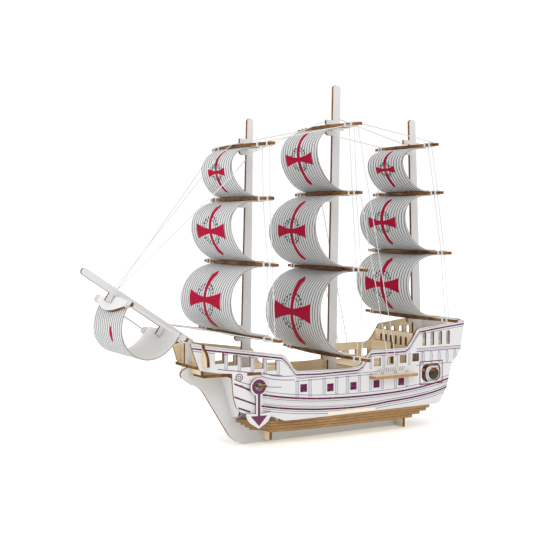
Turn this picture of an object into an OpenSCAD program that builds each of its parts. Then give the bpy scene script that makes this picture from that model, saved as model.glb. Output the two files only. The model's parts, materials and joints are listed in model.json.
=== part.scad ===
// Three-masted sailing ship cut from plywood sheet and slotted together.
// Bow towards -X, stern towards +X, port side towards -Y, keel bottom at z = 0.
// The origin lies on the keel's bottom edge, under the main mast.

/* [Sheet] */
// Plywood of keel, decks, masts and yards
ply = 3; // [2.5:0.1:3.2]
// Thinner sheet of the printed hull sides and anchors
side_ply = 2; // [1.5:0.1:2.2]
// Bent sheet of the sails
sail_ply = 1.2; // [0.8:0.1:1.3]
// Rigging thread
thread_d = 0.8; // [0.5:0.1:1]

/* [Hull] */
// Half width over the hull sides
hull_half = 35; // [34:0.5:37]
// Where the side is scored and bends towards the bow
fold_x = -67.5; // [-70:0.5:-65]
// Angle of the bow part of the side
bow_angle = 6.82; // [6:0.1:7.2]
// Top of the stack of bottom layers
stack_top = 26; // [25:0.5:27]
// Underside of the main deck
main_deck_z = 61; // [60:0.5:62]
// Underside of the forecastle deck
fore_deck_z = 73; // [72.5:0.5:73.5]
// Underside of the platform at the bow
head_z = 82; // [81.5:0.5:82.5]
// Underside of the quarterdeck
quarter_deck_z = 68; // [67.5:0.5:68.5]
// Underside of the poop deck
poop_deck_z = 86; // [85.5:0.5:86.5]

/* [Masts] */
// Height of the fore mast above its step
fore_mast_h = 265; // [262:1:275]
// Height of the main mast above its step
main_mast_h = 304.5; // [300:1:315]
// Height of the mizzen mast above its step
mizzen_mast_h = 274; // [270:1:285]
// Lean of the fore mast towards the stern
fore_rake = 1.2; // [0:0.1:1.5]
// Lean of the main mast towards the stern
main_rake = 1; // [0:0.1:1.5]
// Lean of the mizzen mast towards the bow
mizzen_rake = 2.15; // [0:0.1:2.5]
// Angle of the bowsprit below the vertical
sprit_rake = 56.4; // [55:0.1:58]

/* [Yards] */
// How far the middle of a yard bulges forward of its tips
yard_bulge = 9; // [7:0.5:10]
// Distance from a mast's front edge to the line of the yard tips
tip_gap = 4.4; // [4:0.1:4.6]

/* [Hidden] */

wood = [0.86, 0.75, 0.58];
pale = [0.88, 0.88, 0.87];
thread_white = [0.95, 0.95, 0.93];

// Hull
inner_half = hull_half - side_ply;
stack_bottom = stack_top - 4 * ply;
front_frame_x = -85.3;
rear_frame_x = 84;
foot_half = 14;
front_foot_z = 4;
keel_aft_x = 82;
keel_slot_end = 70;
bulkhead_x = -166;
sill_z = 85;
stern_x = 148;
bow_fit = 0.15;
tab_u = 53.6;
tab_w = 14.9;

// Anchors hang on hooks that stick out of the bow part of the sides
hook_u = 42.6;
hook_z = 62.9;
anchor_gap = 0.9;
anchor_drop = 0.9;
ring_r = 8.8;
ring_hole_r = 3.4;

// Each rig: [foot x, foot z, lean, height, width at foot, width at top, yard levels, yard half lengths,
// sails, inner threads, outer threads]. The threads are half spans, one at each yard.
// Each sail: [reach of its belly at the top, reach at the bottom, half width at the top, middle, bottom]
fore = [-106.8, 60, fore_rake, fore_mast_h, 10.8, 6.6, [236.6, 184.6, 121.8, 51.4], [60, 61, 72, 82],
    [[46, 29, 27, 30.5, 34], [54, 34, 35.5, 41, 41.5], [47.5, 53, 46, 52, 53]],
    [38.8, 43, 54, 59], [52.3, 55.5, 63, 71]];
main = [-2, 60, main_rake, main_mast_h, 10.4, 9, [260.3, 191.5, 114.6, 26], [57, 60, 72, 79],
    [[61.4, 33.4, 31, 34.2, 34], [60, 54.5, 34, 44, 45], [55.4, 53.4, 46.5, 51.8, 52.5]],
    [37.5, 44.5, 55, 59], [45.5, 52, 62, 67.5]];
mizzen = [113.7, 60, -mizzen_rake, mizzen_mast_h, 11.3, 8.4, [244.2, 193.6, 130.5, 60],
    [53, 59.5, 70.5, 78.5],
    [[52.8, 21.3, 29, 31.2, 33.5], [55.5, 35, 36, 40, 42.5], [54, 43.5, 47, 45.8, 46]],
    [37.5, 46, 55.5, 60], [43.5, 51.5, 60.5, 66]];
sprit = [-172, 108.1, -sprit_rake, 128, 7, 7, [85.6, 24], [43.5, 50],
    [[48, 50, 32, 36, 36]],
    [35.5, 40], [40, 45.5]];

wrap_t = 0.7;

function foot_x(m) = m[0];
function foot_z(m) = m[1];
function rake(m) = m[2];
function mast_w(m, h) = m[4] + (m[5] - m[4]) * h / m[3];
function level(m, i) = m[6][i];
function tip_x(m, h) = -mast_w(m, h) / 2 - tip_gap;
function arc(cx, cy, r, a0, a1, n = 8) =
    [for (i = [0 : n]) let (a = a0 + (a1 - a0) * i / n) [cx + r * cos(a), cy + r * sin(a)]];

// Outer half width of the bow part at a station forward of the fold
function bow_half(x) = hull_half - (fold_x - x) * tan(bow_angle);
function bow_inner(x) = bow_half(x) - side_ply / cos(bow_angle) - bow_fit;

// ---- helpers ----
module upright(t) { rotate([90, 0, 0]) linear_extrude(t, center = true) children(); }
module across(x, t) { translate([x, 0, 0]) rotate([90, 0, 90]) linear_extrude(t, center = true) children(); }
module flat(z, t) { translate([0, 0, z]) linear_extrude(t) children(); }
module both_sides() { children(); mirror([0, 1, 0]) children(); }
module rig_frame(m) { translate([foot_x(m), 0, foot_z(m)]) rotate([0, rake(m), 0]) children(); }
module rig_frame_2d(m) { translate([foot_x(m), foot_z(m)]) rotate(-rake(m)) children(); }
// Port bow frame: local -X runs forward along the side from the fold, local -Y points outward
module bow_frame() { translate([fold_x, -hull_half, 0]) rotate([0, 0, -bow_angle]) children(); }

module slot_box(x, z, w, h, half = ply / 2) {
    translate([x - w / 2, -half, z]) cube([w, 2 * half, h]);
}

// ---- keel and bottom ----
module keel_outline() {
    polygon(concat(
        [[keel_aft_x, 0]],
        arc(-104, 28, 28, 270, 213),
        arc(-172.5, 42, 22.5, 30, 75, 6),
        arc(-174.2, 75, 5, 252, 100, 8),
        [[-170, head_z], [bulkhead_x + 1, head_z], [bulkhead_x + 1, fore_deck_z], [-76.5, fore_deck_z],
         [-76.5, main_deck_z], [112, main_deck_z], [112, stack_top], [keel_slot_end, stack_top],
         [keel_slot_end, stack_bottom], [keel_aft_x, stack_bottom]]));
}

module keel() {
    color(wood) upright(ply) difference() {
        keel_outline();
        translate([front_frame_x - ply / 2, 42]) square([ply, 60]);
        translate([rear_frame_x - ply / 2, stack_top - 1]) square([ply, 19]);
        mast_blank(fore);
        mast_blank(main);
        mast_blank(mizzen);
    }
}

// Plan of one bottom layer, the lower ones a little smaller each way
module layer_outline(k) {
    bow = -118 + 5 * k;
    aft = [101.5, 97.5, 89.5, 80][k];
    half = [[bow, 1.5], [bow + 10, 14], [-92, 27], [-60, 31.7], [-20, 34], [60, 35.5], [aft, 36]];
    in = 0.9 * k;
    polygon(concat([for (p = half) [p[0], p[1] - in * min(1, p[1] / 20)]],
        [for (i = [len(half) - 1 : -1 : 0]) [half[i][0], -half[i][1] + in * min(1, half[i][1] / 20)]]));
}

module bottom_layer(k) {
    color(wood) flat(stack_top - (k + 1) * ply, ply) difference() {
        layer_outline(k);
        translate([-150, -ply / 2]) square([150 + keel_slot_end, ply]);
        translate([front_frame_x - ply / 2, -foot_half]) square([ply, 2 * foot_half]);
        translate([rear_frame_x - ply / 2, -foot_half]) square([ply, 2 * foot_half]);
    }
}

module frame_blank(x, half, foot) {
    across(x, ply) polygon([[-foot_half, foot], [foot_half, foot], [foot_half, stack_top],
        [half, stack_top], [half, main_deck_z], [-half, main_deck_z], [-half, stack_top],
        [-foot_half, stack_top]]);
}

module front_frame() {
    color(wood) difference() {
        frame_blank(front_frame_x, bow_inner(front_frame_x - ply / 2), front_foot_z);
        slot_box(front_frame_x, 0, 4, 42);
    }
}

module rear_frame() {
    color(wood) difference() {
        frame_blank(rear_frame_x, inner_half, 0);
        slot_box(rear_frame_x, stack_top + 18, 4, 40);
    }
}

// ---- decks ----
module mast_hole(m, z) {
    lean = tan(rake(m)) * (z - foot_z(m));
    slot_box(foot_x(m) + lean, z - 1, mast_w(m, z - foot_z(m)) + 0.6, ply + 2);
}

module main_deck() {
    front = -129;
    color(wood) difference() {
        flat(main_deck_z, ply) polygon([[front, -bow_inner(front) + 0.6], [fold_x, -inner_half],
            [118, -inner_half], [118, inner_half], [fold_x, inner_half], [front, bow_inner(front) - 0.6]]);
        mast_hole(main, main_deck_z);
        mast_hole(mizzen, main_deck_z);
        translate([-140, -ply / 2, main_deck_z - 1]) cube([140 - 76.5, ply, ply + 2]);
        both_sides() hook_stem_space();
        both_sides() translate([97.5, -hull_half, main_deck_z - 1]) cube([24, 2 * side_ply + 0.1, ply + 2]);
    }
}

module forecastle_deck() {
    front = bulkhead_x + ply / 2;
    aft = -73;
    color(wood) difference() {
        union() {
            flat(fore_deck_z, ply) polygon([[front, -bow_inner(front)], [aft, -bow_inner(aft)],
                [aft, bow_inner(aft)], [front, bow_inner(front)]]);
            both_sides() bow_frame() translate([-tab_u, 0, fore_deck_z]) cube([tab_w, side_ply + 3, ply]);
        }
        mast_hole(fore, fore_deck_z);
    }
}

module beak_platform() {
    front = -173;
    side_front = -171.3;
    aft = bulkhead_x - ply / 2;
    color(wood) flat(head_z, ply) polygon([[front, -22.6], [side_front, -22.2],
        [side_front, -bow_inner(side_front)], [aft, -bow_inner(aft)], [aft, bow_inner(aft)],
        [side_front, bow_inner(side_front)], [side_front, 22.2], [front, 22.6]]);
}

module quarter_deck() {
    front = 12 + ply / 2;
    aft = 128;
    color(wood) difference() {
        translate([front, -inner_half, quarter_deck_z]) cube([aft - front, 2 * inner_half, ply]);
        mast_hole(mizzen, quarter_deck_z);
    }
}

module poop_deck() {
    front = 81.5 + ply / 2;
    aft = 143.5;
    color(wood) difference() {
        translate([front, -inner_half, poop_deck_z]) cube([aft - front, 2 * inner_half, ply]);
        mast_hole(mizzen, poop_deck_z);
    }
}

// ---- transverse plates ----
module bow_bulkhead() {
    knee = 34;
    low = bow_inner(bulkhead_x - ply / 2);
    color(pale) across(bulkhead_x, ply) difference() {
        polygon(concat([[-low, fore_deck_z + ply], [low, fore_deck_z + ply], [low, sill_z], [knee, sill_z]],
            arc(20, 88, 14, 0, 70, 6), [[23, 105.5], [-23, 105.5]],
            arc(-20, 88, 14, 110, 180, 6), [[-knee, sill_z], [-low, sill_z]]));
        translate([-ply / 2, 0]) square([ply, 140]);
    }
}

module forecastle_bulkhead() {
    x = -74.5;
    color(wood) across(x, ply)
        translate([-bow_inner(x - 1.5), main_deck_z + ply])
            square([2 * bow_inner(x - 1.5), fore_deck_z - main_deck_z - ply]);
}

module quarter_bulkhead() {
    color(wood) translate([12 - ply / 2, -inner_half, main_deck_z + ply])
        cube([ply, 2 * inner_half, quarter_deck_z - main_deck_z]);
}

module quarter_screen() {
    screen_x = 64.8;
    half = 16.8;
    color(wood) translate([screen_x - ply / 2, -half, quarter_deck_z + ply]) cube([ply, 2 * half, 23]);
}

module arched_slot(w, h) {
    translate([-w / 2, 0]) square([w, h - w / 2]);
    translate([0, h - w / 2]) circle(w / 2, $fn = 24);
}

module poop_balustrade() {
    slots = 6;
    pitch = 8.7;
    color(pale) across(81.5, ply) difference() {
        translate([-inner_half, quarter_deck_z + ply]) square([2 * inner_half, 104 - quarter_deck_z - ply]);
        for (i = [0 : slots - 1]) translate([(i - (slots - 1) / 2) * pitch, 89.5]) arched_slot(3.4, 9.5);
    }
}

module upper_transom() {
    lean = 10;
    color(pale) translate([stern_x - 3.2, 0, poop_deck_z + ply]) rotate([0, lean, 0]) {
        across(ply / 2, ply) polygon(concat([[-inner_half, 0], [inner_half, 0], [inner_half, 24]],
            [[24, 27.5], [-24, 27.5]], [[-inner_half, 24]]));
        translate([ply, -24, 24.5]) cube([3, 48, ply - 0.5]);
    }
}

module lower_transom() {
    color(pale) translate([114, 0, stack_top]) rotate([0, 21, 0])
        across(0, ply) translate([-inner_half, 0.8]) square([2 * inner_half, 42]);
}

// ---- hull sides ----
module rounded_slot(x, z, w, h, r) {
    translate([x - w / 2 + r, z - h / 2]) square([w - 2 * r, h]);
    translate([x - w / 2, z - h / 2 + r]) square([w, h - 2 * r]);
    for (i = [-1, 1]) for (k = [-1, 1])
        translate([x + i * (w / 2 - r), z + k * (h / 2 - r)]) circle(r, $fn = 32);
}

module side_outline() {
    polygon([[-81, stack_top], [113.6, stack_top], [117.8, 29.2], [122, 36.4], [126.2, 43], [128.9, 52.3],
        [131.6, 64], [134.4, 70.6], [141, 76], [145.6, 83], [147.1, 91.8], [151.2, 115], [141.9, 114.6],
        [117.1, 112], [87.5, 109], [84.5, 107.4], [81.2, 102.1], [76.5, 95.5], [72, 90.8], [67.8, 89.2],
        [24.4, 89.6], [21, 87], [15.5, 79.8], [10.4, 75], [6.6, 73.8], [-8.5, 73], [-39.2, 73.5],
        [-67.5, 74.6], [-71.5, 77.8], [-75.8, 85.1], [-80.2, 91.2], [-83.4, 92.1], [-176.9, 106.4],
        [-178.5, 106.5], [-175.9, 98.2], [-172.9, 89.5], [-169.5, 80.9], [-151.7, 77.4], [-136.5, 76],
        [-136, 66], [-134.6, 52], [-131.8, 42.5], [-127.9, 38], [-118.6, 35.1], [-93.5, 31.1]]);
}

module side_openings() {
    for (i = [0 : 3]) translate([31.9 + 17 * i - 4.5, 72.3 + 0.55 * i]) square([9, 8.6]);
    for (i = [0 : 3]) translate([94.6 + 11 * i, 90]) arched_slot(5, 15);
    for (i = [0 : 4]) translate([-149.4 + 13.7 * i - 4.8, 86.4 - 2.42 * i]) square([9.6, 10.4]);
    rounded_slot(104.3, 60.6, 26, 19.4, 7);
}

// Plan of the sheet: parallel to the centre plane aft of the fold, bent inward forward of it
module side_plan() {
    front = -180;
    inner_fold = fold_x - side_ply * tan(bow_angle / 2);
    polygon([[fold_x, -hull_half], [155, -hull_half], [155, -inner_half], [inner_fold, -inner_half],
        [front, -bow_half(front) + side_ply / cos(bow_angle)], [front, -bow_half(front)]]);
}

module port_side() {
    color(pale) difference() {
        intersection() {
            flat(0, 130) side_plan();
            translate([0, -20, 0]) upright(60) difference() {
                side_outline();
                side_openings();
            }
        }
        translate([bulkhead_x - ply / 2, -40, sill_z]) cube([ply, 30, 40]);
        bow_frame() translate([-tab_u, -1, fore_deck_z]) cube([tab_w, side_ply + 2, ply]);
        bow_frame() translate([-hook_u - 1.5, -1, hook_z - 1.2]) cube([3, side_ply + 2, 2.4]);
    }
}

module starboard_side() { mirror([0, 1, 0]) port_side(); }

// Sloping plates that close the bow between the keel and the front edges of the sides
module port_bow_plate() {
    lean = 18;
    color(pale) translate([-123.4, 0, 32]) rotate([0, -lean, 0])
        translate([0, 0, 0]) rotate([90, 0, 90]) linear_extrude(side_ply)
        polygon([[-ply / 2, -4], [-ply / 2, 41.5], [-23.9, 41.5], [-24.6, 20], [-24.2, 9], [-14, -1]]);
}

module starboard_bow_plate() { mirror([0, 1, 0]) port_bow_plate(); }

module channels() {
    color(wood) both_sides() translate([0, 0, 59.8]) linear_extrude(ply)
        polygon([[22, -hull_half], [24, -44], [79, -44], [80, -hull_half]]);
}

module gallery_frames() {
    color(pale) both_sides() translate([0, -inner_half + side_ply, 0]) rotate([90, 0, 0])
        linear_extrude(side_ply) difference() {
            rounded_slot(109.5, 58.6, 23, 18.4, 8);
            rounded_slot(109.5, 58.6, 14, 12.4, 6);
        }
}

// ---- anchors ----
module hook_stem_space() {
    bow_frame() translate([-hook_u - 2, 0, hook_z - 2]) cube([4, 10, 4]);
}

module port_hook() {
    reach = anchor_gap + side_ply + 0.8;
    bow_frame() translate([-hook_u, 0, hook_z]) {
        translate([-1.5, -reach, -1.2]) cube([3, reach + side_ply + 3, 2.4]);
        translate([-1.5, -reach - 3, -1.2]) cube([8.5, 3, 2.4]);
    }
}

module anchor_hooks() { color(wood) both_sides() port_hook(); }

module anchor_outline() {
    neck = asin(2.8 / ring_r);
    difference() {
        polygon(concat(arc(0, 0, ring_r, -90 + neck, 270 - neck, 40), [[-2.8, -26.5], [-13.2, -25.6]],
            arc(0, -25, 13.6, 188, 242, 6), [[0, -41]], arc(0, -25, 13.6, 298, 352, 6),
            [[13.2, -25.6], [2.8, -26.5]]));
        circle(ring_hole_r, $fn = 48);
    }
}

module port_anchor() {
    color(pale) bow_frame() translate([-hook_u, -anchor_gap, hook_z - anchor_drop])
        rotate([90, 0, 0]) linear_extrude(side_ply) anchor_outline();
}

module starboard_anchor() { mirror([0, 1, 0]) port_anchor(); }

// ---- masts, yards and sails ----
module mast_blank(m) {
    step = 14;
    rig_frame_2d(m) polygon([[-m[4] / 2, -step], [m[4] / 2, -step], [m[4] / 2, 0], [m[5] / 2, m[3] - 2],
        [m[5] / 2 - 2, m[3]], [-m[5] / 2 + 2, m[3]], [-m[5] / 2, m[3] - 2], [-m[4] / 2, 0]]);
}

module bracket(m, i) {
    h = level(m, i);
    w = mast_w(m, h) / 2;
    jaw = 8;
    slot = ply + 2 * sail_ply + 1;
    difference() {
        union() {
            polygon([[-w + 0.5, h + jaw], [-w - jaw, h + jaw], [-w - jaw, h - jaw + 3],
                [-w - jaw + 1, h - jaw + 1], [-w - jaw + 3, h - jaw], [-w + 0.5, h - jaw]]);
        }
        translate([-w - 20, h - slot / 2]) square([20, slot]);
    }
}

module mast_plate(m) {
    upright(ply) {
        mast_blank(m);
        rig_frame_2d(m) {
            for (i = [0 : len(m[6]) - 1]) bracket(m, i);
            translate([mast_w(m, level(m, 0)) / 2 - 0.5, level(m, 0) - 2]) square([5.5, 7]);
        }
    }
}

module fore_mast() { color(pale) mast_plate(fore); }
module main_mast() { color(pale) mast_plate(main); }
module mizzen_mast() { color(pale) mast_plate(mizzen); }

// Plan of a yard: straight at the back, bowed at the front, blunt tips
module yard_plan(m, i) {
    tip = tip_x(m, level(m, i));
    half = m[7][i];
    steps = 12;
    polygon(concat([[tip + tip_gap, -10], [tip + 1.6, -half]],
        [for (k = [0 : steps]) let (y = -half + 2 * half * k / steps)
            [yard_front(m, i, y), y]],
        [[tip + 1.6, half], [tip + tip_gap, 10]]));
}

module yard(m, i) {
    color(wood) rig_frame(m) flat(level(m, i) - ply / 2, ply) yard_plan(m, i);
}

// A sail is one bent sheet: flat strips against both yards, joined by a belly that bows forward.
// Its side profile is a cubic curve and its two long edges bow outward.
function belly(p, s) = pow(1 - s, 3) * p[0] + 3 * pow(1 - s, 2) * s * p[1]
    + 3 * (1 - s) * s * s * p[2] + pow(s, 3) * p[3];
function belly_slope(p, s) = 3 * (pow(1 - s, 2) * (p[1] - p[0]) + 2 * (1 - s) * s * (p[2] - p[1])
    + s * s * (p[3] - p[2]));
function side_step(d) = [-d[1], d[0]] / norm(d) * sail_ply / 2;
function bowed(a, b, c, t) = a * (1 - t) * (1 - 2 * t) + 4 * b * t * (1 - t) + c * t * (2 * t - 1);

module sail(m, i) {
    upper = level(m, i) - ply / 2 - sail_ply / 2;
    lower = level(m, i + 1) + ply / 2 + sail_ply / 2;
    x0 = tip_x(m, upper);
    x1 = tip_x(m, lower);
    shape = m[8][i];
    p = [[x0, upper], [x0 - shape[0], upper], [x1 - shape[1], lower], [x1, lower]];
    steps = 28;
    front = concat([[x0 + tip_gap - 0.2, upper - sail_ply / 2]],
        [for (k = [0 : steps]) belly(p, k / steps) + side_step(belly_slope(p, k / steps))],
        [[x1 + tip_gap - 0.2, lower + sail_ply / 2]]);
    back = concat([[x1 + tip_gap - 0.2, lower - sail_ply / 2]],
        [for (k = [steps : -1 : 0]) belly(p, k / steps) - side_step(belly_slope(p, k / steps))],
        [[x0 + tip_gap - 0.2, upper + sail_ply / 2]]);
    rows = 10;
    top = upper + sail_ply;
    drop = top - lower + sail_ply;
    edge = [for (k = [0 : rows]) [bowed(shape[2], shape[3], shape[4], k / rows), top - drop * k / rows]];
    color(pale) rig_frame(m) intersection() {
        upright(140) polygon(concat(front, back));
        across(x0, 200) polygon(concat(edge, [for (k = [rows : -1 : 0]) [-edge[k][0], edge[k][1]]]));
    }
}

// ---- bowsprit ----
module bowsprit() {
    heel = -174.3;
    color(pale) upright(ply) {
        polygon([[heel, sill_z], [-158, sill_z], [-158, 101.5], [-168, 108.8], [-172.4, 111.6], [heel, 105]]);
        rig_frame_2d(sprit) {
            translate([-3.5, -6]) square([7, sprit[3] + 2.5]);
            translate([0, sprit[3] - 3.5]) circle(3.5, $fn = 32);
            for (i = [0 : 1]) bracket(sprit, i);
        }
    }
}

module sprit_yard_front() { yard(sprit, 0); }
module sprit_yard_rear() { yard(sprit, 1); }
module spritsail() { sail(sprit, 0); }

// ---- rigging ----
module thread(a, b) {
    d = b - a;
    translate(a) rotate([0, acos(d[2] / norm(d)), atan2(d[1], d[0])])
        cylinder(h = norm(d), d = thread_d, $fn = 16);
}

function yard_front(m, i, y) = tip_x(m, level(m, i)) - 1.6 - yard_bulge * pow(cos(90 * y / m[7][i]), 1.5);

// A few turns of thread round a yard
module wrap(m, i, y) {
    wide = 1.6;
    front = yard_front(m, i, abs(y) - wide / 2) - wrap_t;
    slant = (tip_gap - 1.6) * (m[7][i] - abs(y) + wide) / (m[7][i] - 10);
    back = tip_x(m, level(m, i)) + 1.6 + slant + wrap_t;
    difference() {
        translate([front, y - wide / 2, -ply / 2 - wrap_t]) cube([back - front, wide, ply + 2 * wrap_t]);
        linear_extrude(ply, center = true) yard_plan(m, i);
    }
}

module shrouds(m) {
    last = len(m[6]) - 1;
    gap = ply / 2 + wrap_t;
    rig_frame(m) for (side = [-1, 1]) for (row = [9, 10]) {
        for (i = [0 : last]) translate([0, 0, level(m, i)]) wrap(m, i, side * m[row][i]);
        for (i = [0 : last - 1]) thread(
            [tip_x(m, level(m, i)), side * m[row][i], level(m, i) - gap],
            [tip_x(m, level(m, i + 1)), side * m[row][i + 1], level(m, i + 1) + gap]);
    }
}

// A point on a rig, measured along its own axes, in the ship's axes
function on_rig(m, x, y, h) = [foot_x(m) + x * cos(rake(m)) + h * sin(rake(m)), y,
    foot_z(m) - x * sin(rake(m)) + h * cos(rake(m))];
function wrap_top(m, i, y) = on_rig(m, tip_x(m, level(m, i)), y,
    level(m, i) + ply / 2 + wrap_t + thread_d / 2 + 0.1);
function wrap_front(m, i, y) = on_rig(m, yard_front(m, i, abs(y) - 0.8) - wrap_t - thread_d / 2 - 0.2, y,
    level(m, i) - 0.6);

// Point on the front of a mast or of its bracket, and on the rear of a mast
function mast_front(m, h, out, y = 0) = on_rig(m, -mast_w(m, h) / 2 - out, y, h);
function mast_rear(m, h, out, y = 0) = on_rig(m, mast_w(m, h) / 2 + out, y, h);

module fore_rigging() {
    leech = [-137.5, -33.6, 268.5];
    belly_rest = on_rig(fore, -33.7, 0, 227.1);
    heel = [-188.5, 2.4, 124.4];
    color(thread_white) {
        shrouds(fore);
        thread(on_rig(sprit, 3.5 + thread_d, 0.9, 88), wrap_front(fore, 0, 52.3));
        thread(on_rig(sprit, 3.5 + thread_d, 0, 91), belly_rest);
        thread(belly_rest + [0.3, 0, 0.3], on_rig(fore, yard_front(fore, 0, 0) - 1, 0, level(fore, 0) + 1.6));
        thread(on_rig(sprit, 3.5 + thread_d, -0.9, 88), leech);
        thread(leech + [0.9, 0.9, 0.5], mast_front(fore, 224, 0.8, -1.5));
        for (side = [-1, 1]) for (row = [9, 10])
            thread([heel[0] + 2 * (row - 9), side * heel[1], heel[2] - 1.5 * (row - 9)],
                wrap_front(fore, 3, side * fore[row][3]));
    }
}

module main_rigging() {
    color(thread_white) {
        shrouds(main);
        thread(mast_rear(fore, 232, 0.7), mast_front(main, level(main, 0) + 6.5, 8.7));
        for (side = [-1, 1]) {
            thread(wrap_top(fore, 0, side * 50), wrap_front(main, 0, side * 45.6));
            thread(on_rig(main, tip_x(main, level(main, 0)) + 5.5, side * 45, level(main, 0) - 2.4),
                [54, side * 42, 59.8 + ply + 0.05]);
            thread(on_rig(main, tip_x(main, level(main, 1)) + 5.5, side * 51.6, level(main, 1) - 2.4),
                [44, side * 42, 59.8 + ply + 0.05]);
        }
    }
}

module mizzen_rigging() {
    color(thread_white) {
        shrouds(mizzen);
        thread(mast_rear(main, level(main, 0) + 9.5, 0.7), mast_front(mizzen, level(mizzen, 0) + 4, 8.7));
        for (side = [-1, 1]) thread(wrap_top(main, 0, side * 44), wrap_top(mizzen, 0, side * 45.2));
    }
}

module sprit_rigging() { color(thread_white) shrouds(sprit); }

// ---- drawing ----
keel();
bottom_layer(0);  // bottom_layer_1
bottom_layer(1);  // bottom_layer_2
bottom_layer(2);  // bottom_layer_3
bottom_layer(3);  // bottom_layer_4
front_frame();
rear_frame();
main_deck();
forecastle_deck();
beak_platform();
quarter_deck();
poop_deck();
bow_bulkhead();
forecastle_bulkhead();
quarter_bulkhead();
quarter_screen();
poop_balustrade();
upper_transom();
lower_transom();
port_side();
starboard_side();
port_bow_plate();
starboard_bow_plate();
channels();
gallery_frames();
anchor_hooks();
port_anchor();
starboard_anchor();
bowsprit();
sprit_yard_front();
sprit_yard_rear();
spritsail();
fore_mast();
main_mast();
mizzen_mast();
yard(fore, 0);  // fore_yard_1
yard(fore, 1);  // fore_yard_2
yard(fore, 2);  // fore_yard_3
yard(fore, 3);  // fore_yard_4
yard(main, 0);  // main_yard_1
yard(main, 1);  // main_yard_2
yard(main, 2);  // main_yard_3
yard(main, 3);  // main_yard_4
yard(mizzen, 0);  // mizzen_yard_1
yard(mizzen, 1);  // mizzen_yard_2
yard(mizzen, 2);  // mizzen_yard_3
yard(mizzen, 3);  // mizzen_yard_4
sail(fore, 0);  // fore_sail_1
sail(fore, 1);  // fore_sail_2
sail(fore, 2);  // fore_sail_3
sail(main, 0);  // main_sail_1
sail(main, 1);  // main_sail_2
sail(main, 2);  // main_sail_3
sail(mizzen, 0);  // mizzen_sail_1
sail(mizzen, 1);  // mizzen_sail_2
sail(mizzen, 2);  // mizzen_sail_3
fore_rigging();
main_rigging();
mizzen_rigging();
sprit_rigging();
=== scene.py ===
import json
import math

import bpy
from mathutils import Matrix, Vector
from mathutils.geometry import convex_hull_2d


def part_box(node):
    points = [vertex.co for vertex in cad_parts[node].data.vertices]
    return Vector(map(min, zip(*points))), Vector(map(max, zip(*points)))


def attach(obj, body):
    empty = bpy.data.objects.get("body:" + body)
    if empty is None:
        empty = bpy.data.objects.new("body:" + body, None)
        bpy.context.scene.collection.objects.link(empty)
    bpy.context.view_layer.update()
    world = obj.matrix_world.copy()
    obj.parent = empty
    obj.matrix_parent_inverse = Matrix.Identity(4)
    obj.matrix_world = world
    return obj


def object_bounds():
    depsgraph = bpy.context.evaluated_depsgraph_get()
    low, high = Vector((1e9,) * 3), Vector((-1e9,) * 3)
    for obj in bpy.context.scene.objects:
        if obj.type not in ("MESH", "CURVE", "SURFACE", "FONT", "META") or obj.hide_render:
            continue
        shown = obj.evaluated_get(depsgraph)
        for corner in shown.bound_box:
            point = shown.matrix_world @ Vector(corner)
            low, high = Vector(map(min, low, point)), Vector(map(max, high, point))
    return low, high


mm = 0.001

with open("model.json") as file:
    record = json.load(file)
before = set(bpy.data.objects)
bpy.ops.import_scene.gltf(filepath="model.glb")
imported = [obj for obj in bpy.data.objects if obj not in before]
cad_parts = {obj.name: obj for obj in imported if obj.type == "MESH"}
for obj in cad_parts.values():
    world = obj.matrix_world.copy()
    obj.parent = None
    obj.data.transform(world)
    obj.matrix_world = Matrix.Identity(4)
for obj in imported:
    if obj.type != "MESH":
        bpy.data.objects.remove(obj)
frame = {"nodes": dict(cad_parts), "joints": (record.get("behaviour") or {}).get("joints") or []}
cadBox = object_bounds()
print("stage: frame loaded")

palette = {
    "paintWhite": (0.60, 0.60, 0.61),
    "paintShade": (0.46, 0.46, 0.48),
    "mastWhite": (0.56, 0.56, 0.56),
    "sailGrey": (0.53, 0.535, 0.535),
    "sailLight": (0.66, 0.66, 0.65),
    "sailBack": (0.62, 0.62, 0.615),
    "sailLine": (0.020, 0.021, 0.023),
    "crimson": (0.325, 0.0, 0.026),
    "purple": (0.095, 0.002, 0.050),
    "plum": (0.10, 0.055, 0.09),
    "ink": (0.012, 0.008, 0.012),
    "birchLight": (0.78, 0.68, 0.50),
    "birchDark": (0.62, 0.48, 0.30),
    "ply": (0.56, 0.36, 0.17),
    "burntDark": (0.026, 0.011, 0.005),
    "burntMid": (0.185, 0.072, 0.022),
    "burntLight": (0.36, 0.185, 0.070),
    "thread": (0.60, 0.60, 0.60),
    "threadShade": (0.42, 0.42, 0.41),
}


class Num:  # a number in a node tree, for sums written like ordinary code
    def __init__(self, tree, socket):
        self.tree, self.socket = tree, socket

    def math(self, operation, *others):
        node = self.tree.nodes.new("ShaderNodeMath")
        node.operation = operation
        for index, value in enumerate((self,) + others):
            if isinstance(value, Num):
                self.tree.links.new(value.socket, node.inputs[index])
            else:
                node.inputs[index].default_value = value
        return Num(self.tree, node.outputs[0])

    def __add__(self, other):
        return self.math("ADD", other)

    def __sub__(self, other):
        return self.math("SUBTRACT", other)

    def __mul__(self, other):
        return self.math("MULTIPLY", other)

    def __lt__(self, other):
        return self.math("LESS_THAN", other)

    def __gt__(self, other):
        return self.math("GREATER_THAN", other)

    __radd__ = __add__
    __rmul__ = __mul__

    def abs(self):
        return self.math("ABSOLUTE")

    def near(self, centre, half):  # 1 within half of centre
        return (self - centre).abs() < half

    def either(self, other):
        return self.math("MAXIMUM", other)

    def without(self, other):
        return self * (other * -1 + 1)


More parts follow.
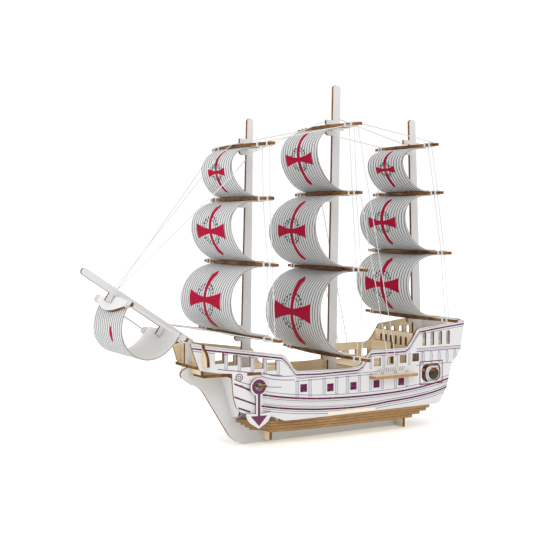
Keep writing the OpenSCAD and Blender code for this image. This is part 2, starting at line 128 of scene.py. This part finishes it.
def makeMaterial(name):
    material = bpy.data.materials.new(name)
    material.use_nodes = True
    tree = material.node_tree
    tree.nodes.clear()
    output = tree.nodes.new("ShaderNodeOutputMaterial")
    shader = tree.nodes.new("ShaderNodeBsdfPrincipled")
    shader.inputs["Specular IOR Level"].default_value = 0.18
    tree.links.new(shader.outputs["BSDF"], output.inputs["Surface"])
    return material, tree, shader


def splitVector(tree, socket):
    node = tree.nodes.new("ShaderNodeSeparateXYZ")
    tree.links.new(socket, node.inputs[0])
    return [Num(tree, out) for out in node.outputs]


def places(tree):  # position in mm and surface normal, in the ship's axes
    coords = tree.nodes.new("ShaderNodeTexCoord")
    position = [axis * 1000.0 for axis in splitVector(tree, coords.outputs["Object"])]
    return position, splitVector(tree, coords.outputs["Normal"]), coords


def noise(tree, coords, scale, detail=3.0, rough=0.55):  # scale is one number per axis, in cycles per metre
    mapping = tree.nodes.new("ShaderNodeMapping")
    mapping.inputs["Scale"].default_value = scale
    texture = tree.nodes.new("ShaderNodeTexNoise")
    texture.inputs["Scale"].default_value = 1.0
    texture.inputs["Detail"].default_value = detail
    texture.inputs["Roughness"].default_value = rough
    tree.links.new(coords.outputs["Object"], mapping.inputs["Vector"])
    tree.links.new(mapping.outputs["Vector"], texture.inputs["Vector"])
    return Num(tree, texture.outputs["Fac"])


def spread(value, low, high):  # stretches low..high to 0..1
    return ((value - low) * (1.0 / (high - low))).math("MAXIMUM", 0.0).math("MINIMUM", 1.0)


def mix(tree, factor, first, second):
    node = tree.nodes.new("ShaderNodeMix")
    node.data_type = "RGBA"
    if isinstance(factor, Num):
        tree.links.new(factor.socket, node.inputs[0])
    else:
        node.inputs[0].default_value = factor
    for index, colour in ((6, first), (7, second)):
        if isinstance(colour, tuple):
            node.inputs[index].default_value = (*colour, 1.0)
        else:
            tree.links.new(colour, node.inputs[index])
    return node.outputs[2]


def addBump(tree, shader, height, strength, distance):
    node = tree.nodes.new("ShaderNodeBump")
    node.inputs["Strength"].default_value = strength
    node.inputs["Distance"].default_value = distance
    tree.links.new(height.socket, node.inputs["Height"])
    tree.links.new(node.outputs["Normal"], shader.inputs["Normal"])


def curveThrough(tree, x, points, smooth=True):  # height of a line drawn through points, at x
    xs, zs = [p[0] for p in points], [p[1] for p in points]
    low, high = min(zs) - 1.0, max(zs) + 1.0
    node = tree.nodes.new("ShaderNodeFloatCurve")
    curve = node.mapping.curves[0]
    placed = [((px - xs[0]) / (xs[-1] - xs[0]), (pz - low) / (high - low)) for px, pz in points]
    while len(curve.points) < len(placed):
        curve.points.new(0.5, 0.5)
    for point, place in zip(curve.points, placed):
        point.location = place
        point.handle_type = "AUTO" if smooth else "VECTOR"
    node.mapping.update()
    tree.links.new(((x - xs[0]) * (1.0 / (xs[-1] - xs[0]))).socket, node.inputs["Value"])
    return Num(tree, node.outputs[0]) * (high - low) + low


def drawnLine(tree, x, z, points, half, smooth=True):
    inside = x.near((points[0][0] + points[-1][0]) / 2, (points[-1][0] - points[0][0]) / 2)
    return ((z - curveThrough(tree, x, points, smooth)).abs() < half) * inside


def box(x, z, centre, half):
    return x.near(centre[0], half[0]) * z.near(centre[1], half[1])


plate = {
    "grainAlong": 18.0,  # streaks per metre along the grain
    "grainAcross": 620.0,
    "paintGrain": 0.05,  # how much grain shows through the paint
    "edgeStripes": 900.0,
    "faceLimit": 0.88,
    "bareRough": 0.62,
    "paintRough": 0.48,
    "edgeRough": 0.8,
}


def edgeColour(tree, coords, thin):  # scorched side of a sheet: fine stripes across it, and its plies
    across = [plate["edgeStripes"]] * 3
    across[thin] = 60.0
    stripes = spread(noise(tree, coords, across, 2.0), 0.34, 0.66)
    patches = spread(noise(tree, coords, (55.0, 55.0, 55.0), 3.0), 0.36, 0.68)
    plies = [120.0] * 3
    plies[thin] = 1000.0
    layers = spread(noise(tree, coords, plies, 1.0), 0.42, 0.62)
    brown = mix(tree, stripes, palette["burntDark"], palette["burntMid"])
    worn = mix(tree, layers, palette["burntMid"], palette["burntLight"])
    return mix(tree, patches * 0.75, brown, worn), stripes


def birchColour(tree, coords, grain):
    scale = [plate["grainAcross"]] * 3
    scale[grain] = plate["grainAlong"]
    fine = spread(noise(tree, coords, scale, 5.0, 0.65), 0.3, 0.7)
    scale = [90.0] * 3
    scale[grain] = 6.0
    broad = spread(noise(tree, coords, scale, 2.0), 0.35, 0.68)
    tone = mix(tree, broad * 0.6, palette["birchLight"], palette["birchDark"])
    return mix(tree, fine * 0.35, tone, palette["birchDark"]), fine


def broadFace(node):  # direction that the sheet's two broad faces look in
    areas = {}
    for polygon in frame["nodes"][node].data.polygons:
        n = polygon.normal
        n = n if (n.x, n.y, n.z) > (-n.x, -n.y, -n.z) else -n
        key = tuple(round(value, 1) + 0.0 for value in n)
        area, total = areas.get(key, (0.0, Vector()))
        areas[key] = (area + polygon.area, total + n * polygon.area)
    return max(areas.values(), key=lambda entry: entry[0])[1].normalized()


def plateMaterial(name, node, grain, paint=None, printed=None, warm=0.0, layered=False):
    material, tree, shader = makeMaterial(name)
    position, normal, coords = places(tree)
    facing = broadFace(node)
    thin = max(range(3), key=lambda axis: abs(facing[axis]))
    isFace = (normal[0] * facing.x + normal[1] * facing.y + normal[2] * facing.z).abs() > plate["faceLimit"]
    wood, fine = birchColour(tree, coords, grain)
    edge, stripes = edgeColour(tree, coords, thin)
    if warm:
        edge = mix(tree, warm, edge, palette["ply"])
    if layered:  # dark seams where this sheet meets the next
        low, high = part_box(node)
        seam = (position[thin] - low[thin] * 1000.0) * (0.001 / (high[thin] - low[thin]))
        seam = ((seam.math("FRACT") - 0.5).abs() > 0.40) * 0.8
        edge = mix(tree, seam, edge, palette["burntDark"])
    face, rough = wood, plate["bareRough"]
    if paint:
        face = mix(tree, fine * plate["paintGrain"] + 0.02, paint, wood)
        rough = plate["paintRough"]
    if printed:
        face = printed(tree, position, normal, coords, face, wood)
    tree.links.new(mix(tree, isFace, edge, face), shader.inputs["Base Color"])
    gloss = isFace * (rough - plate["edgeRough"]) + plate["edgeRough"] + fine * 0.08
    tree.links.new(gloss.socket, shader.inputs["Roughness"])
    addBump(tree, shader, isFace * fine * 0.35 + stripes * (isFace * -1 + 1), 0.35, 0.00025)
    return material


hull = {
    "portHalf": 4.0,
    "ports": [(-59.4, 57.0), (-27.2, 55.0), (1.5, 54.2), (31.0, 53.9), (63.6, 53.8)],
    "waleHalf": 0.9,
    "thinHalf": 0.32,
    "upperWale": [(-102.6, 53.1), (-66.7, 47.5), (-26.9, 44.0), (10.6, 42.8), (49.5, 43.1), (76.3, 44.6),
                  (103.7, 47.8), (128.9, 52.3)],
    "lowerWale": [(-103.8, 42.1), (-66.7, 36.5), (-26.9, 33.1), (10.6, 32.1), (49.6, 34.1), (76.3, 35.5),
                  (126.2, 43.2)],
    "bowWales": [[(-134.2, 66.0), (-117.5, 59.0), (-102.6, 53.1)],
                 [(-134.2, 53.3), (-109.0, 43.2), (-103.8, 42.1)], [(-130.0, 42.3), (-117.5, 37.4)]],
    "bowSweeps": [[(-134.0, 70.5), (-112.0, 63.0), (-84.0, 59.6)],
                  [(-110.0, 75.5), (-95.0, 68.5), (-70.0, 66.0)], [(-104.0, 75.5), (-90.0, 71.0), (-71.0, 70.0)]],
    "rail": [(-176.0, 102.2), (-83.4, 88.1), (-77.5, 82.5), (-68.5, 70.8), (-39.2, 69.5), (7.5, 69.8),
             (13.5, 72.9), (22.5, 84.6), (25.4, 85.6), (68.6, 85.2), (74.5, 88.5), (83.2, 99.8), (88.0, 105.0),
             (117.1, 108.0), (151.0, 111.0)],
    "railHalf": 0.8,
    "postOffset": 7.6,  # posts on both sides of each gun port
    "postHalf": 1.8,
    "postMiddle": 56.5,
    "postTall": 8.6,
    "stripHalf": (30.0, 1.5),
    "windowPosts": [(-142.6, 88.5), (-128.9, 86.1), (-115.2, 83.7), (-101.5, 81.3), (-87.8, 78.9)],
    "postLine": 0.4,
    "windowPost": (1.6, 7.4),
    "quarterX": 23.4,  # the first post between the quarterdeck windows
    "quarterStep": 17.0,
    "quarterPost": (1.5, 6.6),
    "columnStep": 11.0,
    "columnMiddle": 77.0,
    "gallery": (104.3, 60.6),
    "galleryHalf": (16.0, 12.6),
    "galleryLine": 1.1,
    "hawse": (-129.0, 71.9),
    "mainX": (13.0, 117.0),  # middle and half length
    "waistX": (-18.0, 50.0),
    "waistLines": (66.8, 64.4),
    "upperThin": (3.6, -2.6),
    "lowerThin": (2.4, -2.2, -4.4),
    "sternX": (84.0, 147.0),
}


def outlined(x, z, centre, half, line):  # a filled box and its outline
    fill = box(x, z, centre, half)
    core = box(x, z, centre, (half[0] - line, half[1] - line))
    return fill, fill.without(core)


def hullPrint(tree, position, normal, coords, face, wood):
    x, y, z = position
    outside = (normal[1] * y) > 0.0  # the print is on the outer face only
    wale, thin = hull["waleHalf"], hull["thinHalf"]
    upper = z - curveThrough(tree, x, hull["upperWale"])
    lower = z - curveThrough(tree, x, hull["lowerWale"])
    rail = z - curveThrough(tree, x, hull["rail"], False)
    main = x.near(*hull["mainX"])  # from the anchor to the stern
    strong = (upper.near(0.0, wale) + lower.near(0.0, wale)) * main
    strong = strong.either(rail.near(0.0, hull["railHalf"]))
    for points in hull["bowWales"]:
        strong = strong.either(drawnLine(tree, x, z, points, wale, False))
    fineLines = [upper.near(offset, thin) for offset in hull["upperThin"]]
    fineLines += [lower.near(offset, thin) for offset in hull["lowerThin"]]
    fineLines = sum(fineLines[1:], fineLines[0]) * main
    fineLines = fineLines.either(rail.near(-2.4, thin))
    fineLines = fineLines.either(rail.near(2.6, thin * 0.8))
    for points in hull["bowSweeps"]:
        fineLines = fineLines.either(drawnLine(tree, x, z, points, thin * 1.3))
    fineLines = fineLines.either(rail.near(-17.2, thin * 1.6) * x.near(-117.0, 34.0))
    planks = ((upper * 0.35).math("FRACT") - 0.5).abs() < 0.06
    planks = planks * (upper < 0.0) * (lower > 0.0) * main
    for height in hull["waistLines"]:  # two lines above the gun ports
        fineLines = fineLines.either(z.near(height, thin) * x.near(*hull["waistX"]))
    fills = lines = ports = None
    for place in hull["ports"]:
        frameBox = box(x, z, place, (hull["portHalf"],) * 2)
        ports = frameBox if ports is None else ports.either(frameBox)
        for side in (-1, 1):
            spot = (place[0] + side * hull["postOffset"], hull["postMiddle"])
            fill, line = outlined(x, z, spot, (hull["postHalf"], hull["postTall"]), 0.45)
            fills = fill if fills is None else fills.either(fill)
            lines = line if lines is None else lines.either(line)
    for spot in hull["windowPosts"]:  # posts between the forecastle windows
        fill, line = outlined(x, z, spot, hull["windowPost"], hull["postLine"])
        fills, lines = fills.either(fill), lines.either(line)
    for index in range(5):  # posts between the quarterdeck windows
        spot = (hull["quarterX"] + hull["quarterStep"] * index, hull["columnMiddle"])
        fill, line = outlined(x, z, spot, hull["quarterPost"], hull["postLine"])
        fills, lines = fills.either(fill), lines.either(line)
    stern = x.near(sum(hull["sternX"]) / 2.0, (hull["sternX"][1] - hull["sternX"][0]) / 2.0)
    lines = lines.either(stern * (z.near(87.2, 0.35) + z.near(84.2, 0.5) + z.near(69.5, 0.35)))
    beads = ((x * 0.45).math("FRACT") - 0.5).abs() < 0.22
    lines = lines.either(stern * z.near(85.8, 0.55) * beads)
    step, middle = hull["columnStep"], hull["columnMiddle"]
    columns = ((x * (1.0 / step)).math("FRACT") - 0.5).abs() * step  # distance from each gallery column
    taper = (z - middle).abs() * -0.18 + 2.2  # half width of a column
    column = (columns < taper) * z.near(middle, 6.4) * stern
    fills = fills.either(column)
    lines = lines.either(column.without((columns < (taper - 0.45)) * z.near(middle, 6.0)))
    galleryEdge = outlined(x, z, hull["gallery"], hull["galleryHalf"], hull["galleryLine"])[1]
    railing = (((x + z * 0.35) * 0.42).math("FRACT") - 0.5).abs() < 0.2
    railing = railing * z.near(67.6, 2.2) * x.near(50.0, 18.0)
    dx, dz = x - hull["hawse"][0], z - hull["hawse"][1]  # from the middle of the rope's hole
    radius = (dx * dx + dz * dz).math("SQRT")
    rings = radius.near(3.4, 0.5).either(radius.near(1.5, 0.4))
    chain = (x + z * 1.5 + 31.2).abs() < 1.3
    chain = chain * x.near(-122.5, 5.0) * (((x * 0.5).math("FRACT") - 0.5).abs() < 0.36)
    wear = spread(noise(tree, coords, (260.0, 260.0, 260.0), 3.0), 0.25, 0.45) * 0.2 + 0.8
    shade = (upper < 3.0) * (lower > 0.0) * main
    face = mix(tree, shade * outside * 0.22, face, palette["paintShade"])
    face = mix(tree, fills * outside * 0.75, face, palette["paintShade"])
    soft = fineLines.either(lines).either(planks * 0.5).either(railing * 0.8).either(chain)
    face = mix(tree, soft * outside * wear * 0.85, face, palette["plum"])
    strong = strong.either(ports).either(galleryEdge).either(rings)
    face = mix(tree, strong * outside * wear, face, palette["purple"])
    strip = box(x, z, (0.0, 28.5), hull["stripHalf"]) * outside
    face = mix(tree, strip, face, palette["birchLight"])
    return mix(tree, outside, wood, face)  # the inner face is raw wood


def galleryPrint(tree, position, normal, coords, face, wood):  # two outlines that follow the window's rim
    low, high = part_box("gallery_frames")
    halfX, halfZ = (high.x - low.x) * 500.0, (high.z - low.z) * 500.0
    across = (position[0] - (high.x + low.x) * 500.0).abs() * (1.0 / halfX)
    along = (position[2] - (high.z + low.z) * 500.0).abs() * (1.0 / halfZ)
    reach = (across.math("POWER", 4.0) + along.math("POWER", 4.0)).math("POWER", 0.25)
    mask = reach.near(0.93, 0.045).either(reach.near(0.72, 0.03))
    return mix(tree, mask * 0.9, face, palette["purple"])


anchor = {
    "ring": 5.5,
    "ringHalf": 1.9,
    "shank": (1.3, 12.5),
    "shankDrop": 19.0,
    "flukeDrop": 28.4,
    "flukeReach": 10.2,
}


def anchorPrint(tree, position, normal, coords, face, wood):
    x, y, z = position
    hook = frame["joints"][0]["pos_m"]
    dx, dz = x - hook[0] * 1000.0, z - hook[2] * 1000.0
    radius = (dx * dx + dz * dz).math("SQRT")
    ring = radius.near(anchor["ring"], anchor["ringHalf"])
    shank = box(dx, dz, (0.0, -anchor["shankDrop"]), anchor["shank"])
    below = dz + anchor["flukeDrop"]
    fluke = ((dx.abs() * 1.15 + below.abs()) < anchor["flukeReach"]) * (below < 0.0)
    mask = ring.either(shank).either(fluke)
    return mix(tree, mask * 0.95, face, palette["purple"])


sailPrintSizes = {
    "pitch": 4.5,
    "lineHalf": 0.55,
    "dashes": 22.0,
    "postReach": 0.29,  # half height of the cross, as a share of the sail's curve
    "armReach": {"fore_sail_1": 16.5, "fore_sail_2": 27.5, "fore_sail_3": 31.0,
                 "main_sail_1": 23.3, "main_sail_2": 25.5, "main_sail_3": 33.5,
                 "mizzen_sail_1": 16.0, "mizzen_sail_2": 23.0, "mizzen_sail_3": 28.7, "spritsail": 3.0},
    "rough": 0.58,
}


def sailCross(y, v, reach, tall):  # y runs across the sail and v along its curve, from the middle, in mm
    barHalf = (y.abs() * (1.0 / reach)).math("POWER", 1.6) * (reach * 0.22) + reach * 0.10
    barEnd = (v * v) * (0.10 / reach) * -1 + reach * 1.03  # the ends of the arms are slightly round
    bar = (v.abs() < barHalf) * (y.abs() < barEnd)
    postHalf = (v.abs() * (1.0 / tall)).math("POWER", 1.5) * (reach * 0.11) + reach * 0.075
    postEnd = (y * y) * (6.0 / reach) * -1 + tall
    return bar.either((y.abs() < postHalf) * (v.abs() < postEnd))


def sailDashes(y, v, reach):  # two broken rings round the cross's middle
    radius = (y * y + v * v).math("SQRT")
    angle = (y.math("ARCTAN2", v) * (sailPrintSizes["dashes"] / (2.0 * math.pi))).math("FRACT")
    outer = radius.near(reach * 0.58, 1.2) * (angle < 0.62)
    return outer.either(radius.near(reach * 0.45, 0.8) * (angle > 0.4))


def sailDrop(y, v):  # the one red drop on the spritsail
    return ((y + 9.0).abs() < ((v + 7.0) * (v + 7.0) * -0.022 + 3.6)) * v.near(-7.0, 13.0)


def sailMaterial(node):  # lines, a cross and two rings of dashes on the front of the sail
    material, tree, shader = makeMaterial("sail." + node)
    shader.inputs["Specular IOR Level"].default_value = 0.05
    position, normal, coords = places(tree)
    low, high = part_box(node)
    low, high = low * 1000.0, high * 1000.0
    depth, half = high.x - low.x, (high.z - low.z) / 2.0
    centreX, centreZ = high.x, (high.z + low.z) / 2.0
    forward, up, y = position[0] * -1 + centreX, position[2] - centreZ, position[1]
    isFront = (normal[0] * forward * -1 + normal[2] * up) > 0.0
    isEdge = normal[1].abs() > 0.7
    arcLength = math.pi * math.sqrt((depth * depth + half * half) / 2.0)
    turn = (up * (1.0 / half)).math("ARCTAN2", forward * (1.0 / depth))
    v = turn * (arcLength / math.pi)
    pitch = sailPrintSizes["pitch"]
    line = ((y * (1.0 / pitch)).math("FRACT") - 0.5).abs() < (sailPrintSizes["lineHalf"] / pitch)
    reach = sailPrintSizes["armReach"][node]
    if node == "spritsail":
        cross = dash = sailDrop(y, v)
    else:
        cross = sailCross(y, v, reach, arcLength * sailPrintSizes["postReach"])
        dash = sailDashes(y, v, reach)
    fine = noise(tree, coords, (500.0, 500.0, 60.0), 4.0)
    front = mix(tree, spread(fine, 0.3, 0.75) * 0.12, palette["sailGrey"], palette["sailLight"])
    front = mix(tree, line, front, palette["sailLine"])
    front = mix(tree, dash * 0.9, front, palette["ink"])
    front = mix(tree, cross, front, palette["crimson"])
    back = mix(tree, spread(fine, 0.3, 0.75) * 0.2, palette["sailBack"], palette["birchLight"])
    edge = mix(tree, 0.45, edgeColour(tree, coords, 0)[0], palette["sailGrey"])
    colour = mix(tree, isEdge, mix(tree, isFront, back, front), edge)
    tree.links.new(colour, shader.inputs["Base Color"])
    tree.links.new((fine * 0.2 + (sailPrintSizes["rough"] - 0.1)).socket, shader.inputs["Roughness"])
    addBump(tree, shader, fine + line * isFront * 0.3, 0.25, 0.0002)
    return material


def threadMaterial():
    material, tree, shader = makeMaterial("cottonThread")
    position, normal, coords = places(tree)
    twist = ((position[0] + position[1] + position[2] * 1.4) * 1.6).math("SINE")
    fuzz = noise(tree, coords, (2500.0, 2500.0, 2500.0), 3.0)
    tone = mix(tree, spread(fuzz, 0.3, 0.7) * 0.3 + (twist * 0.06 + 0.06), palette["thread"],
               palette["threadShade"])
    tree.links.new(tone, shader.inputs["Base Color"])
    shader.inputs["Roughness"].default_value = 0.9
    shader.inputs["Sheen Weight"].default_value = 0.3
    addBump(tree, shader, twist * 0.5 + fuzz, 0.5, 0.0002)
    return material


def use(nodeNames, material):
    for name in nodeNames:
        slots = frame["nodes"][name].data.materials
        slots.clear()
        slots.append(material)


alongX, alongY, alongZ = 0, 1, 2
names = sorted(frame["nodes"])
paint, mastPaint = palette["paintWhite"], palette["mastWhite"]
use(["keel", "bowsprit", "fore_mast", "main_mast", "mizzen_mast"],
    plateMaterial("mastPlate", "main_mast", alongZ, mastPaint))
use(["front_frame", "rear_frame", "forecastle_bulkhead", "quarter_bulkhead", "quarter_screen",
     "poop_balustrade", "bow_bulkhead"], plateMaterial("crossPlate", "rear_frame", alongY))
use(["upper_transom", "lower_transom"], plateMaterial("sternPlate", "rear_frame", alongY, paint))
use([n for n in names if n.startswith("bottom_layer")],
    plateMaterial("bottomLayer", "bottom_layer_1", alongX, None, None, 0.4, True))
use([n for n in names if "yard" in n], plateMaterial("yardPlate", "main_yard_1", alongY))
use(["sprit_yard_front", "sprit_yard_rear"], plateMaterial("spritYard", "sprit_yard_front", alongY, paint))
use(["main_deck", "forecastle_deck", "beak_platform", "quarter_deck", "poop_deck"],
    plateMaterial("deckPlate", "main_deck", alongX))
use(["channels"], plateMaterial("channelPlate", "channels", alongX, None, None, 0.5))
use(["port_side", "starboard_side"], plateMaterial("sidePrint", "port_side", alongX, paint, hullPrint))
use(["anchor_hooks"], plateMaterial("hookPlate", "anchor_hooks", alongY))
use(["gallery_frames"], plateMaterial("sidePlain", "gallery_frames", alongX, paint, galleryPrint))
for name in ("port_bow_plate", "starboard_bow_plate"):
    use([name], plateMaterial("bowPlate." + name, name, alongZ, paint))
use(["port_anchor", "starboard_anchor"],
    plateMaterial("anchorPlate", "gallery_frames", alongZ, paint, anchorPrint))
for name in names:
    if "sail" in name:
        use([name], sailMaterial(name))
cotton = threadMaterial()
use([n for n in names if n.endswith("rigging")], cotton)
print("stage: materials made")

turns = {
    "threadRadius": 0.30 * mm,
    "cornerRadius": 0.55 * mm,
    "lift": 0.05 * mm,  # height of a turn's centreline over the tie that it covers
    "inset": 0.28 * mm,  # from the side of a tie to its outer turn
    "tieHalf": 0.8 * mm,
    "sides": 10,
    "sameTie": 12.0 * mm,
    "cornerLift": 1.4,  # corners move out further than faces do
}


def tieSections(node):  # each side face of each tie round a yard: (side, y, its outline in x and z)
    mesh = frame["nodes"][node].data
    groups = []
    for polygon in mesh.polygons:
        if abs(polygon.normal.y) < 0.999 or polygon.area < 1e-8:
            continue
        side = 1 if polygon.normal.y > 0 else -1
        points = [mesh.vertices[index].co for index in polygon.vertices]
        for group in groups:
            near = (group["points"][0] - points[0]).length < turns["sameTie"]
            if near and group["side"] == side and abs(group["y"] - points[0].y) < 0.1 * mm:
                group["points"] += points
                break
        else:
            groups.append({"side": side, "y": points[0].y, "points": points})
    return groups


def turnLoops(group):  # closed outlines of the thread's turns that lie on this half of the tie
    flat = [Vector((p.x, p.z)) for p in group["points"]]
    centre = sum(flat, Vector((0.0, 0.0))) / len(flat)
    corners = [flat[index] for index in convex_hull_2d(flat)]
    corners.sort(key=lambda p: math.atan2(p.y - centre.y, p.x - centre.x))
    grown = [p + (p - centre).normalized() * turns["lift"] * turns["cornerLift"] for p in corners]
    insets = [turns["inset"]] + ([turns["tieHalf"]] if group["side"] > 0 else [])
    return [[(p.x, group["y"] - group["side"] * inset, p.y) for p in grown] for inset in insets]


def makeTurnsTree():
    tree = bpy.data.node_groups.new("threadTurns", "GeometryNodeTree")
    face = tree.interface
    face.new_socket("Geometry", in_out="INPUT", socket_type="NodeSocketGeometry")
    sockets = {}
    for title, kind in (("Thread Radius", "NodeSocketFloat"), ("Corner Radius", "NodeSocketFloat"),
                        ("Sides", "NodeSocketInt"), ("Material", "NodeSocketMaterial")):
        sockets[title] = face.new_socket(title, in_out="INPUT", socket_type=kind).identifier
    face.new_socket("Geometry", in_out="OUTPUT", socket_type="NodeSocketGeometry")
    start, end = tree.nodes.new("NodeGroupInput"), tree.nodes.new("NodeGroupOutput")
    toCurve = tree.nodes.new("GeometryNodeMeshToCurve")
    fillet = tree.nodes.new("GeometryNodeFilletCurve")
    fillet.mode = "POLY"
    fillet.inputs["Count"].default_value = 4
    fillet.inputs["Limit Radius"].default_value = True
    circle = tree.nodes.new("GeometryNodeCurvePrimitiveCircle")
    sweep = tree.nodes.new("GeometryNodeCurveToMesh")
    smooth = tree.nodes.new("GeometryNodeSetShadeSmooth")
    realize = tree.nodes.new("GeometryNodeRealizeInstances")
    paintIt = tree.nodes.new("GeometryNodeSetMaterial")
    link = tree.links.new
    link(start.outputs["Geometry"], toCurve.inputs["Mesh"])
    link(toCurve.outputs["Curve"], fillet.inputs["Curve"])
    link(start.outputs["Corner Radius"], fillet.inputs["Radius"])
    link(start.outputs["Thread Radius"], circle.inputs["Radius"])
    link(start.outputs["Sides"], circle.inputs["Resolution"])
    link(fillet.outputs["Curve"], sweep.inputs["Curve"])
    link(circle.outputs["Curve"], sweep.inputs["Profile Curve"])
    link(sweep.outputs["Mesh"], smooth.inputs["Geometry"])
    link(smooth.outputs["Geometry"], realize.inputs["Geometry"])
    link(realize.outputs["Geometry"], paintIt.inputs["Geometry"])
    link(start.outputs["Material"], paintIt.inputs["Material"])
    link(paintIt.outputs["Geometry"], end.inputs["Geometry"])
    return tree, sockets


def makeThreadTurns(node, tree, sockets, material):
    points, edges = [], []
    for group in tieSections(node):
        for loop in turnLoops(group):
            first = len(points)
            points += loop
            edges += [(first + k, first + (k + 1) % len(loop)) for k in range(len(loop))]
    guide = bpy.data.meshes.new(node + "Guide")
    guide.from_pydata(points, edges, [])
    helper = bpy.data.objects.new(node + "Guide", guide)
    bpy.context.scene.collection.objects.link(helper)
    modifier = helper.modifiers.new("turns", "NODES")
    modifier.node_group = tree
    modifier[sockets["Thread Radius"]] = turns["threadRadius"]
    modifier[sockets["Corner Radius"]] = turns["cornerRadius"]
    modifier[sockets["Sides"]] = turns["sides"]
    modifier[sockets["Material"]] = material
    graph = bpy.context.evaluated_depsgraph_get()
    mesh = bpy.data.meshes.new_from_object(helper.evaluated_get(graph), depsgraph=graph)
    bpy.data.objects.remove(helper)
    piece = bpy.data.objects.new(node + "_turns", mesh)
    bpy.context.scene.collection.objects.link(piece)
    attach(piece, "ship")
    return len(points)


turnsTree, turnsSockets = makeTurnsTree()
for name in names:
    if name.endswith("rigging"):
        count = makeThreadTurns(name, turnsTree, turnsSockets, cotton)
        print("stage: turns on", name, count)

studio = {
    "floorSize": 14.0,
    "floorTone": 0.92,
    "floorGlow": 0.22,
    "worldTone": 1.0,
    "worldStrength": 1.05,
    "keyPower": 11.0,
    "fillPower": 6.0,
}


def makeFloor():
    half = studio["floorSize"] / 2.0
    mesh = bpy.data.meshes.new("floor")
    corners = [(-half, -half, 0), (half, -half, 0), (half, half, 0), (-half, half, 0)]
    mesh.from_pydata(corners, [], [(0, 1, 2, 3)])
    floor = bpy.data.objects.new("floor", mesh)
    bpy.context.scene.collection.objects.link(floor)
    material, tree, shader = makeMaterial("floorPaper")
    shader.inputs["Base Color"].default_value = (*(studio["floorTone"],) * 3, 1.0)
    shader.inputs["Roughness"].default_value = 0.9
    shader.inputs["Emission Color"].default_value = (1.0, 1.0, 1.0, 1.0)
    shader.inputs["Emission Strength"].default_value = studio["floorGlow"]
    mesh.materials.append(material)


def makeLight(name, place, target, size, power):
    light = bpy.data.lights.new(name, "AREA")
    light.shape = "DISK"
    light.size = size
    light.energy = power
    lamp = bpy.data.objects.new(name, light)
    lamp.location = place
    lamp.rotation_euler = (Vector(target) - Vector(place)).to_track_quat("-Z", "Y").to_euler()
    bpy.context.scene.collection.objects.link(lamp)


makeFloor()
middle = (cadBox[0] + cadBox[1]) / 2.0
makeLight("keyLight", (-0.7, -1.5, 1.5), middle, 1.1, studio["keyPower"])
makeLight("fillLight", (-1.6, 0.2, 0.7), middle, 1.0, studio["fillPower"])
world = bpy.data.worlds.new("studio")
world.use_nodes = True
background = world.node_tree.nodes["Background"]
background.inputs["Color"].default_value = (*(studio["worldTone"],) * 3, 1.0)
background.inputs["Strength"].default_value = studio["worldStrength"]
bpy.context.scene.world = world
bpy.context.scene.view_settings.view_transform = "Standard"

view = {
    "place": (-0.62194, -0.89920, 0.22235),
    "target": (-0.08165, 0.0, 0.17747),
    "lens": 70.24,
    "sensor": 36.0,
}
cameraData = bpy.data.cameras.new("camera")
cameraData.lens = view["lens"]
cameraData.sensor_width = view["sensor"]
cameraData.clip_start = 0.01
camera = bpy.data.objects.new("camera", cameraData)
camera.location = view["place"]
camera.rotation_euler = (Vector(view["target"]) - Vector(view["place"])).to_track_quat("-Z", "Y").to_euler()
bpy.context.scene.collection.objects.link(camera)
bpy.context.scene.camera = camera
print("stage: studio ready")
